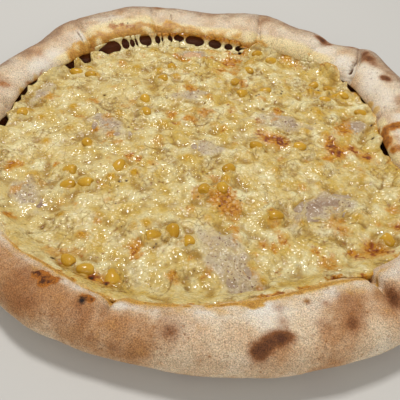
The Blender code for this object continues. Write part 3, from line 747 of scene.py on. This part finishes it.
grain = 0.5 * mottle(5, 50) + 0.5 * mottle(2.2, 51)
browned = spots(flat, BROWNED, 0.4 * grain, 0.4, 2.0)
saucy = spots(flat, SAUCY, 0.45 * grain, 0.5, 1.9)
browned = np.maximum(browned, 0.45 * smooth(1.3, 2.5, mottle(13, 52) + 0.4 * grain))
clear_of_left = smooth(-120, -50, east)
browned = np.maximum(browned, 0.4 * (1 - smooth(0.5, 3.5, inside + grain)) * pressed * clear_of_left)
baked_rim = 1.3 * (1 - smooth(1.2, 3.4, inside + 0.8 * grain)) * smooth(-0.6, 0.3, mottle(11, 58))
browned = np.maximum(browned, baked_rim * smooth(0, -90, north) * clear_of_left)
browned = np.maximum(browned, 0.85 * np.clip(2.4 * soften(saucy, 3), 0, 1))
cream = 0.35 * soften(curds - 0.5, 1) + 0.4 * soften(shreds - 0.35, 0.6)
cream += 0.14 * mottle(14, 54) + 0.1 * mottle(4, 57)
cream = 0.60 + cream * (1 - 0.4 * smooth_side)
uneven = relief - level
# The hollows of the relief are darkened olive-brown: painted shade.
hollow = np.clip(0.8 * (soften(uneven, 5) - uneven) + 1.3 * (soften(uneven, 1.6) - uneven) - 0.1, 0, 1)

SHEET_CELLS = 304
SHEET_RADIUS = 130
side = np.linspace(-1, 1, SHEET_CELLS + 1)
a, b = np.meshgrid(side, side)
wide = np.abs(a) > np.abs(b)
reach = np.where(wide, a, b)
other = np.where(wide, b, a)
phi = np.pi / 4 * other / np.where(reach == 0, 1, reach)
turned = np.where(wide, phi, np.pi / 2 - phi)
unit_x = reach * np.cos(turned)
unit_y = reach * np.sin(turned)
sheet_angle = np.degrees(np.arctan2(unit_y, unit_x)) % 360
sheet_x = unit_x * cheese_edge(sheet_angle)
sheet_y = unit_y * cheese_edge(sheet_angle)


def sample(field, x, y):
    """Reads a field between its cells."""
    u = np.clip((x + FIELD_HALF) / FIELD_PITCH, 0, cells - 1.001)
    v = np.clip((y + FIELD_HALF) / FIELD_PITCH, 0, cells - 1.001)
    i, j = u.astype(int), v.astype(int)
    u, v = u - i, v - j
    return (
        field[j, i] * (1 - u) * (1 - v)
        + field[j, i + 1] * u * (1 - v)
        + field[j + 1, i] * (1 - u) * v
        + field[j + 1, i + 1] * u * v
    )


top = np.stack([sheet_x, sheet_y, sample(relief, sheet_x, sheet_y)], -1).reshape(-1, 3)
row = SHEET_CELLS + 1
faces = [
    (j * row + i, j * row + i + 1, (j + 1) * row + i + 1, (j + 1) * row + i)
    for j in range(SHEET_CELLS)
    for i in range(SHEET_CELLS)
]
border = list(range(row))
border += [j * row + SHEET_CELLS for j in range(1, row)]
border += [SHEET_CELLS * row + i for i in range(SHEET_CELLS - 1, -1, -1)]
border += [j * row for j in range(SHEET_CELLS - 1, 0, -1)]
floor_z = BASE_THICKNESS + SAUCE_THICKNESS + 2 * AIR_GAP
edge_points = top[border]
wall = []
for share, tuck in ((0.25, -0.25), (0.6, 0.1), (1.0, 0.6)):
    ring = edge_points.copy()
    ring[:, :2] *= 1 - tuck / SHEET_RADIUS
    ring[:, 2] = edge_points[:, 2] * (1 - share) + floor_z * share
    wall.append(ring)
start = len(top)
count = len(border)
previous = border
for k in range(len(wall)):
    current = [start + k * count + i for i in range(count)]
    for i in range(count):
        j = (i + 1) % count
        faces.append((previous[j], previous[i], current[i], current[j]))
    previous = current
faces.append(tuple(previous[::-1]))
sheet_points = np.vstack([top] + wall)


def over_sheet(field):
    flat_values = sample(field, sheet_x, sheet_y).ravel()
    return np.concatenate([flat_values] + [flat_values[border]] * len(wall))


cheese_fields = {
    "cream": cream,
    "hollow": hollow,
    "lacy": lacy * (1 - ham_film),
    "crease": shaded_creases,
    "corn_film": corn_film,
    "corn_seat": seat,
    "ham_film": ham_film,
    "ham_thin": ham_thin,
    "browned": browned,
    "saucy": saucy,
    "pits": pits,
}
cheese_fields = {name: np.clip(over_sheet(field), 0, 1) for name, field in cheese_fields.items()}

# Melted mozzarella: a milky, oily fat and protein gel that light sinks into. It is cream on the lumps and
# deeper yellow where it is thin and in the seams between the curds, frothed into bubbles of 2 mm that each
# catch a wet glint, with brown specks where it baked dry. Painted shade darkens its hollows, creases, steep
# curd sides, burst pits and froth edges, and partly the seams.
cheese = new_material("melted_mozzarella")
spot = add_node(cheese, "NewGeometry", {}, "Position")
curd, fleck, cloud, wide = (
    add_node(cheese, "TexNoise", {"Vector": spot, "Scale": spaced(width), "Detail": fine, "Roughness": rough})
    for width, fine, rough in ((2.381, 2, 0.6), (1.3158, 1, 0.5), (7.692, 3, 0.6), (22.22, 1, 0.5))
)
froth = add_node(cheese, "TexVoronoi", {"Vector": spot, "Scale": spaced(2.3256)})
drift = add_node(cheese, "TexNoise", {"Vector": spot, "Scale": spaced(9.091), "Detail": 2.0}, "Color")
bent = add_node(cheese, "VectorMath", {0: drift, 1: (0.014, 0.014, 0.0), 2: spot}, operation="MULTIPLY_ADD")
# The seams between the curds sink in the bump and are darkened brown, partly as thin cheese and partly as
# painted shade.
shaded_seam = add_node(cheese, "TexVoronoi", {"Vector": bent, "Scale": spaced(11.765)}, feature="DISTANCE_TO_EDGE")
shaded_seam = add_node(cheese, "MapRange", {"Value": shaded_seam, "From Max": 0.09, "To Min": 1.0, "To Max": 0.0})
mask = {name: add_node(cheese, "Attribute", {}, "Fac", attribute_name=name) for name in cheese_fields}
colour = lay_colours(cheese, mask, "caa850", [
    ("e4d8a6", "cream", cloud, 0.5, 0.1, 1.0),
    ("a27c34", "hollow", curd, 0.5, 0.1, 1.1),
    # the edges of the froth bubbles in lacy patches are darkened: painted shade
    ("9c7434", "lacy", froth, 1.2, 0.85, 1.7),
    ("8c6a30", "crease", curd, 0.8, 0.3, 1.2),
    ("98783a", wide, shaded_seam, 1.0, 0.84, 1.25),
    ("c4941c", "corn_film", curd, 0.5, 0.15, 0.9),
    ("c09434", "corn_seat", curd, 0.5, 0.4, 1.4),
    ("bda98a", "ham_film", cloud, 1.4, 0.1, 1.3),
    ("ab9582", "ham_thin", cloud, 0.8, 0.1, 0.9),
    ("74503e", "ham_film", fleck, 2.4, 1.14, 1.5),
    ("c4841a", "browned", curd, 0.8, 0.1, 0.75),
    ("945012", "browned", froth, 1.6, 0.75, 1.5),
    ("5e2e10", "browned", fleck, 2.6, 0.95, 1.7),
    ("8e4414", "saucy", froth, 1.4, 0.4, 1.1),
    ("5a220c", "saucy", curd, 2.4, 0.75, 1.5),
    ("3a2110", "pits", curd, 0.2, 0.3, 0.8),
])
flecked = add_node(
    cheese, "MapRange", {"Value": fleck, "From Min": 0.3, "From Max": 0.7, "To Min": 0.86, "To Max": 1.10}
)
colour = add_node(
    cheese, "Mix", {0: 1.0, 6: colour, 7: flecked}, 2, data_type="RGBA", blend_type="MULTIPLY"
)
rounded = add_node(cheese, "Math", {0: froth, 1: froth}, operation="MULTIPLY")
swell = add_node(cheese, "Math", {0: rounded, 1: -1.2, 2: curd}, operation="MULTIPLY_ADD")
swell = add_node(cheese, "Math", {0: shaded_seam, 1: -0.6, 2: swell}, operation="MULTIPLY_ADD")
frothy = add_node(cheese, "MapRange", {"Value": mask["lacy"], "To Min": 0.42, "To Max": 0.65})
bump = add_node(cheese, "Bump", {"Height": swell, "Strength": frothy, "Distance": 0.0012})
shine = add_node(cheese, "Math", {0: cloud, 1: 0.6, 2: wide}, operation="MULTIPLY_ADD")
shine = add_node(
    cheese, "MapRange", {"Value": shine, "From Min": 0.76, "From Max": 0.98, "To Min": 0.11, "To Max": 0.40}
)
shine = add_node(cheese, "Math", {0: mask["ham_film"], 1: 0.15, 2: shine}, operation="MULTIPLY_ADD")
melt = {
    "Base Color": colour,
    "Roughness": shine,
    "IOR": 1.45,
    "Normal": bump,
    "Subsurface Weight": 0.08,
    "Subsurface Radius": (1.0, 0.7, 0.25),
    "Subsurface Scale": 0.0012,
}
add_node(cheese, "OutputMaterial", {"Surface": add_node(cheese, "BsdfPrincipled", melt)})
sheet = build_piece("melted_cheese_sheet", sheet_points, faces, cheese_fields, cheese)
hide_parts("melted_cheese")

# The strings: where the lip lifted in the oven it drew the cheese up into a curtain, which tore into short
# thick strings with rounded windows between them. Each string is widest at its foot and at its head.
STRING_CIRCLE = 122
THINNEST_STRING = 0.3

# The windows: angle and half width in degrees, and middle and half height as shares of the strings' length.
WINDOWS = [
    (135.5, 0.4, 0.5, 0.3), (130, 4.2, 0.5, 0.5), (123.8, 1.4, 0.55, 0.36), (121.2, 0.9, 0.5, 0.3),
    (119.6, 0.5, 0.5, 0.3), (115.9, 2.3, 0.62, 0.42), (111.2, 1, 0.6, 0.28), (109.4, 0.4, 0.62, 0.14),
    (106.3, 0.9, 0.66, 0.2), (102.9, 2, 0.72, 0.2), (96.6, 3.8, 0.62, 0.34), (88.4, 2.7, 0.55, 0.32),
    (82.6, 1.8, 0.5, 0.24), (78.2, 1.6, 0.5, 0.24), (75, 0.4, 0.5, 0.2),
]
STRING_RINGS = 17
STRING_SIDES = 10
string_points = []
string_faces = []
string_brown = []
for number in range(len(WINDOWS) - 1):
    left, left_half, left_middle, left_tall = WINDOWS[number]
    right, right_half, right_middle, right_tall = WINDOWS[number + 1]
    first = len(string_points)
    for k in range(STRING_RINGS):
        rise = k / (STRING_RINGS - 1)
        left_open = math.sqrt(max(0.0, 1 - ((rise - left_middle) / left_tall) ** 2))
        right_open = math.sqrt(max(0.0, 1 - ((rise - right_middle) / right_tall) ** 2))
        open_share = (left_open + right_open) / 2
        low_angle = left - left_half * left_open
        high_angle = right + right_half * right_open
        middle_angle = (low_angle + high_angle) / 2
        half_width = max(THINNEST_STRING, math.radians(abs(low_angle - high_angle) / 2) * STRING_CIRCLE)
        foot = float(cheese_edge(np.array(middle_angle))) - 1.6
        head = float(station_value(np.array(middle_angle), 2)) + 0.3
        foot_x, foot_y, _ = round_points(foot, np.array([middle_angle]), np.zeros(1)).T
        foot_z = float(sample(relief, foot_x, foot_y)[0]) - 1.0
        head_z = NOSE_HEIGHT + float(mouth(np.array(middle_angle))) - 0.4
        r = foot + (head - foot) * rise
        z = foot_z + (head_z - foot_z) * rise - 0.8 * math.sin(math.pi * rise)
        thick = 0.5 + 1.0 * (1 - open_share)
        for i in range(STRING_SIDES):
            t = 2 * math.pi * i / STRING_SIDES
            turn = math.radians(middle_angle) + half_width / r * math.cos(t)
            depth = thick * math.sin(t)
            out = r + 0.6 * depth
            string_points.append((out * math.cos(turn), out * math.sin(turn), z - 0.8 * depth))
            toasted = smooth(0.55, 0.95, rise) * smooth(118, 106, middle_angle)
            string_brown.append(0.1 + 0.8 * float(toasted))
    body = band_faces(STRING_RINGS, STRING_SIDES)
    string_faces += [tuple(first + i for i in face) for face in body]
strings = build_piece(
    "cheese_strings",
    string_points,
    string_faces,
    {"cream": np.full(len(string_points), 0.8), "browned": string_brown},
    cheese,
)

# The ham: thin slices of cooked, brined pork, torn into pieces and laid on before baking. Most of each is
# under a skin of cheese, so only its middle shows, mauve-grey and moist. The slice beside the strings had no
# cheese over it and baked warmer.
HAM_THICKNESS = 1.8
HAM_ROUND = 56
HAM_RINGS = (0.12, 0.3, 0.5, 0.7, 0.86, 0.96, 1.0)
WARM_SLICE = 6
ham_points = []
ham_faces = []
ham_warm = []
for number, (x, y, turn, half_length, half_width) in enumerate(HAM, start=1):
    c, s = math.cos(math.radians(turn)), math.sin(math.radians(turn))
    low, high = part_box(f"ham_slice_{number:02d}")
    middle_z = (low[2] + high[2]) / 2 / MM
    for lift in (HAM_THICKNESS / 2, -HAM_THICKNESS / 2):
        first = len(ham_points)
        for share in HAM_RINGS:
            for i in range(HAM_ROUND):
                t = 2 * math.pi * i / HAM_ROUND
                ragged = 1 + 0.12 * noise.noise(Vector((2.2 * math.cos(t), 2.2 * math.sin(t), x)))
                ragged += 0.07 * noise.noise(Vector((6 * math.cos(t), 6 * math.sin(t), y)))
                u = half_length * math.cos(t) * share * ragged
                v = half_width * math.sin(t) * share * ragged
                px, py = x + u * c - v * s, y + u * s + v * c
                wave = 0.5 * noise.noise(Vector((px, py, 90)) / 9)
                wave += 0.25 * noise.noise(Vector((px, py, 40)) / 4)
                rounded = lift * math.sqrt(max(0.0, 1 - share**8))
                ham_points.append((px, py, middle_z + wave + rounded - 0.35 - 1.3 * share**4))
                ham_warm.append(float(number == WARM_SLICE))
        for k in range(len(HAM_RINGS) - 1):
            for i in range(HAM_ROUND):
                j = (i + 1) % HAM_ROUND
                inner = first + k * HAM_ROUND
                outer = inner + HAM_ROUND
                quad = (inner + i, outer + i, outer + j, inner + j)
                ham_faces.append(quad if lift > 0 else quad[::-1])
        cap = tuple(first + i for i in range(HAM_ROUND))
        ham_faces.append(cap if lift > 0 else cap[::-1])

# Cured, cooked pork: greyish brown with paler fat, wet with brine, its bundles of fibres 3 mm wide each
# giving a small sharp glint.
ham = new_material("cooked_ham")
spot = add_node(ham, "NewGeometry", {}, "Position")
fibre = add_node(ham, "TexNoise", {"Vector": spot, "Scale": spaced(2.857), "Detail": 3.0})
cloud = add_node(ham, "TexNoise", {"Vector": spot, "Scale": spaced(8.333), "Detail": 3.0})
mask = {"warm": add_node(ham, "Attribute", {}, "Fac", attribute_name="warm")}
colour = lay_colours(ham, mask, "957861", [
    ("bca688", 0.5, cloud, 1.8, 0.1, 0.8),
    ("dccfbc", 0.3, fibre, 2.4, 0.5, 1.1),
    ("d2a87c", "warm", cloud, 0.9, 0.1, 1.0),
])
blob = add_node(ham, "TexVoronoi", {"Vector": spot, "Scale": spaced(2.6316)})
rounded = add_node(ham, "Math", {0: blob, 1: blob}, operation="MULTIPLY")
swell = add_node(ham, "Math", {0: rounded, 1: -1.2, 2: fibre}, operation="MULTIPLY_ADD")
bump = add_node(ham, "Bump", {"Height": swell, "Strength": 0.6, "Distance": 0.0014})
meat = {
    "Base Color": colour,
    "Roughness": 0.15,
    "IOR": 1.4,
    "Normal": bump,
    "Subsurface Weight": 0.1,
    "Subsurface Radius": (1.0, 0.5, 0.4),
    "Subsurface Scale": 0.0018,
}
add_node(ham, "OutputMaterial", {"Surface": add_node(ham, "BsdfPrincipled", meat)})
slices = build_piece("ham_slices", ham_points, ham_faces, {"warm": ham_warm}, ham)
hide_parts(*[f"ham_slice_{number:02d}" for number in range(1, len(HAM) + 1)])

# The sweetcorn: tinned maize kernels, plump flattened teeth with a thin shiny skin, dropped on with the
# ham and half sunk in the cheese. Each has a broad crown with a faint dimple and a narrower root.
CORN_LENGTH = 9.4
CORN_WIDTH = 8.2
CORN_DEPTH = 6.2
LENGTH_STEPS = 14
GIRTH_STEPS = 20
corn_points = []
corn_faces = []
corn_tone = []
draw = random.Random(5)
tone_draw = random.Random(6)
for number, (x, y) in enumerate(CORN, start=1):
    low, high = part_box(f"corn_kernel_{number:02d}")
    middle = (Vector(low) + Vector(high)) / 2 / MM
    middle.z += corn_lift[number - 1]
    roll_angle = math.radians(draw.uniform(-20, 20))
    tip_angle = math.radians(draw.uniform(-22, 22))
    turn_angle = math.radians(draw.uniform(0, 360))
    size = draw.uniform(0.94, 1.10)
    turn = Matrix.Rotation(turn_angle, 3, "Z") @ Matrix.Rotation(tip_angle, 3, "Y")
    turn = turn @ Matrix.Rotation(roll_angle, 3, "X")
    tone = tone_draw.random()
    first = len(corn_points)
    for k in range(LENGTH_STEPS):
        t = math.pi * (k + 0.5) / LENGTH_STEPS
        along = -math.cos(t)
        girth = math.sin(t) ** 0.75 * (0.86 + 0.16 * along)
        dent = 0.5 * max(0.0, along - 0.5)
        for i in range(GIRTH_STEPS):
            g = 2 * math.pi * i / GIRTH_STEPS
            local = Vector((
                CORN_LENGTH / 2 * (along - dent * math.exp(-((girth / 0.5) ** 2))),
                CORN_WIDTH / 2 * girth * math.cos(g),
                CORN_DEPTH / 2 * girth * math.sin(g) * (1 - 0.08 * math.cos(2 * g)),
            )) * size
            corn_points.append(tuple(middle + turn @ local))
            corn_tone.append(0.5 * tone + 0.25 * (along + 1))
    corn_faces += [tuple(first + i for i in face) for face in band_faces(LENGTH_STEPS, GIRTH_STEPS)]

# The skin of a steamed kernel: thin, waxy and golden, with one soft bright glint and pale smears 4 mm wide.
maize = new_material("tinned_maize_skin")
spot = add_node(maize, "NewGeometry", {}, "Position")
smear = add_node(maize, "TexNoise", {"Vector": spot, "Scale": spaced(3.846), "Detail": 3.0, "Roughness": 0.6})
mask = {"tone": add_node(maize, "Attribute", {}, "Fac", attribute_name="tone")}
colour = lay_colours(maize, mask, "b08014", [
    ("d4a634", "tone", smear, 1.0, 0.0, 1.0),
    ("dcc680", 0.3, smear, 2.4, 0.6, 1.2),
])
bump = add_node(maize, "Bump", {"Height": smear, "Strength": 0.3, "Distance": 0.001})
skin = {
    "Base Color": colour,
    "Roughness": 0.2,
    "IOR": 1.42,
    "Normal": bump,
    "Subsurface Weight": 0.15,
    "Subsurface Radius": (1.0, 0.5, 0.1),
    "Subsurface Scale": 0.002,
}
add_node(maize, "OutputMaterial", {"Surface": add_node(maize, "BsdfPrincipled", skin)})
kernels = build_piece("sweetcorn_kernels", corn_points, corn_faces, {"tone": corn_tone}, maize)
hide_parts(*[f"corn_kernel_{number:02d}" for number in range(1, len(CORN) + 1)])

# The studio: a plain pale floor, one soft light above and a little behind, a broader and weaker one in front,
# and the camera at the photograph's angle, its lens and its picture's width given in pixels.
FLOOR_HALF = 3.0
FLOOR_LEVEL = -0.0002
floor_mesh = bpy.data.meshes.new("studio_floor")
corners = [(x * FLOOR_HALF, y * FLOOR_HALF, FLOOR_LEVEL) for x, y in ((-1, -1), (1, -1), (1, 1), (-1, 1))]
floor_mesh.from_pydata(corners, [], [(0, 1, 2, 3)])
studio_floor = bpy.data.objects.new("studio_floor", floor_mesh)
bpy.context.scene.collection.objects.link(studio_floor)
paper = new_material("matt_grey_paper")
matt = {"Base Color": linear("c6c3bd"), "Roughness": 0.7}
add_node(paper, "OutputMaterial", {"Surface": add_node(paper, "BsdfPrincipled", matt)})
floor_mesh.materials.append(paper)

for name, spot, aim, size, power in (
    ("key_light", (-0.13, 0.42, 1.18), (0, 0, 0), 0.2, 10.0),
    ("front_light", (0.2, -1.2, 0.7), (0, -0.05, 0), 0.9, 5.5),
):
    lamp = bpy.data.lights.new(name, "AREA")
    lamp.size = size
    lamp.energy = power
    light = bpy.data.objects.new(name, lamp)
    light.location = spot
    light.rotation_euler = (Vector(aim) - Vector(spot)).to_track_quat("-Z", "Y").to_euler()
    bpy.context.scene.collection.objects.link(light)

world = bpy.data.worlds.new("studio_air")
world.use_nodes = True
world.node_tree.nodes["Background"].inputs["Color"].default_value = linear("f4f2ee")
world.node_tree.nodes["Background"].inputs["Strength"].default_value = 0.42
bpy.context.scene.world = world
bpy.context.scene.view_settings.view_transform = "Standard"

PHOTO_WIDTH = 400
PHOTO_LENS = 470
lens = bpy.data.cameras.new("camera")
lens.sensor_width = 36
lens.lens = PHOTO_LENS / PHOTO_WIDTH * lens.sensor_width
camera = bpy.data.objects.new("camera", lens)
right = Vector((0.99619, 0.06406, 0.05910))
up = Vector((-0.08716, 0.73216, 0.67553))
back = Vector((0, -0.67811, 0.73496))
turn = Matrix((right, up, back)).transposed().to_4x4()
camera.matrix_world = Matrix.Translation(Vector((2.23, -244.78, 212.19)) * MM) @ turn
bpy.context.scene.collection.objects.link(camera)
bpy.context.scene.camera = camera
